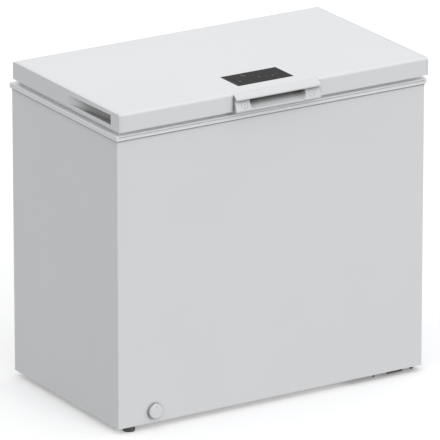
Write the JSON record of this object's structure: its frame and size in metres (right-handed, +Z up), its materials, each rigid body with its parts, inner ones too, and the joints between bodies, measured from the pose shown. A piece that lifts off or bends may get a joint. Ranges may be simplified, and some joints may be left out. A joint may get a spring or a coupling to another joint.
{
  "type": "chest freezer",
  "caption": "Free-standing chest freezer with a top-hinged insulated lid, touch panel, front handle, sliding wire basket, drain spout and screw feet.",
  "frame": {"origin": "on the floor, under the middle of the whole object's box, handle and hinge covers included", "axes": "+Z up, front with the handle towards -Y, +X to the right of someone facing the front (compressor end)"},
  "size_m": [0.993, 0.636, 0.916],
  "materials": {
    "white_enamel_steel": "satin",
    "galvanised_steel": "satin",
    "rigid_foam": "matte",
    "embossed_aluminium": "satin",
    "tube_aluminium": "satin",
    "tube_steel": "satin",
    "black_enamel_steel": "satin",
    "black_rubber": "matte",
    "grey_rubber": "matte",
    "zinc_steel": "satin",
    "spring_steel": "satin",
    "copper": "satin",
    "white_plastic": "satin",
    "grey_plastic": "satin",
    "black_plastic": "matte",
    "lamp_plastic": "satin",
    "gasket_vinyl": "matte",
    "seal_foam": "matte",
    "black_glass": "gloss",
    "green_board": "satin",
    "coated_wire": "gloss"
  },
  "bodies": {
    "cabinet": {"back_panel": "galvanised_steel", "bottom_panel": "galvanised_steel", "cabinet_insulation": "rigid_foam", "capillary_tube": "copper", "collar_frame": "white_plastic", "collar_seal": "seal_foam", "compressor_base_plate": "galvanised_steel", "compressor_bay_lining": "galvanised_steel", "compressor_bolts": "zinc_steel", "compressor_grommets": "black_rubber", "compressor_shell": "black_enamel_steel", "condenser_coil": "tube_steel", "discharge_tube": "copper", "drain_bushing": "white_plastic", "drain_duct": "white_plastic", "evaporator_coil": "tube_aluminium", "filter_drier": "copper", "foot_nuts": "zinc_steel", "front_panel": "white_enamel_steel", "hinge_brackets": "galvanised_steel", "hinge_covers": "white_plastic", "hinge_pins": "zinc_steel", "hinge_screws": "zinc_steel", "hinge_springs": "spring_steel", "inner_liner": "embossed_aluminium", "left_side_panel": "white_enamel_steel", "power_control_box": "grey_plastic", "power_inlet_gland": "black_plastic", "rear_bay_cover": "galvanised_steel", "rear_cover_screws": "zinc_steel", "relay_cover": "black_plastic", "right_side_panel": "white_enamel_steel", "suction_tube": "copper", "ventilation_grille": "white_plastic"},
    "lid": {"lid_top_sheet": "white_enamel_steel", "lid_left_end_cap": "white_plastic", "lid_right_end_cap": "white_plastic", "lid_inner_liner": "white_plastic", "lid_insulation": "rigid_foam", "lid_gasket": "gasket_vinyl", "lamp_lens": "lamp_plastic", "lid_handle": "white_plastic", "handle_screw_caps": "white_plastic", "handle_screws": "zinc_steel", "control_glass": "black_glass", "control_housing": "black_plastic", "control_board": "green_board", "hinge_leaves": "galvanised_steel", "leaf_screws": "zinc_steel"},
    "hinge_plungers": {"hinge_plungers": "grey_plastic"},
    "basket": {"basket_wire": "coated_wire", "basket_grips": "grey_plastic"},
    "drain_spout": {"drain_spout_tube": "white_plastic"},
    "drain_knob": {"drain_knob": "white_plastic"},
    "drain_floor_plug": {"drain_floor_plug": "grey_rubber"},
    "foot_front_left": {"foot_front_left": "black_plastic"},
    "foot_front_right": {"foot_front_right": "black_plastic"},
    "foot_rear_left": {"foot_rear_left": "black_plastic"},
    "foot_rear_right": {"foot_rear_right": "black_plastic"}
  },
  "joints": [
    {"name": "lid_hinge", "type": "hinge", "parent": "cabinet", "child": "lid", "pos_m": [0, 0.302, 0.861], "axis": [-1, 0, 0], "range_deg": [0, 80]},
    {"name": "plunger_slide", "type": "slide", "parent": "cabinet", "child": "hinge_plungers", "axis": [0, 0, 1], "range_m": [0, 0.017], "deforming": ["hinge_springs"]},
    {"name": "basket_slide", "type": "slide", "parent": "cabinet", "child": "basket", "axis": [-1, 0, 0], "range_m": [0, 0.625]},
    {"name": "drain_pull", "type": "slide", "parent": "cabinet", "child": "drain_spout", "axis": [0, -1, 0], "range_m": [0, 0.025]},
    {"name": "drain_turn", "type": "hinge", "parent": "drain_spout", "child": "drain_knob", "pos_m": [-0.3776, -0.286, 0.05], "axis": [0, -1, 0], "range_deg": [0, 180]},
    {"name": "floor_plug_lift", "type": "slide", "parent": "cabinet", "child": "drain_floor_plug", "axis": [0, 0, 1], "range_m": [0, 0.03]},
    {"name": "foot_front_left_screw", "type": "slide", "parent": "cabinet", "child": "foot_front_left", "axis": [0, 0, -1], "range_m": [0, 0.008]},
    {"name": "foot_front_right_screw", "type": "slide", "parent": "cabinet", "child": "foot_front_right", "axis": [0, 0, -1], "range_m": [0, 0.008]},
    {"name": "foot_rear_left_screw", "type": "slide", "parent": "cabinet", "child": "foot_rear_left", "axis": [0, 0, -1], "range_m": [0, 0.008]},
    {"name": "foot_rear_right_screw", "type": "slide", "parent": "cabinet", "child": "foot_rear_right", "axis": [0, 0, -1], "range_m": [0, 0.008]}
  ],
  "couplings": [
    {"joint": "plunger_slide", "follows": "lid_hinge", "m_per_rad": 0.011969}
  ]
}
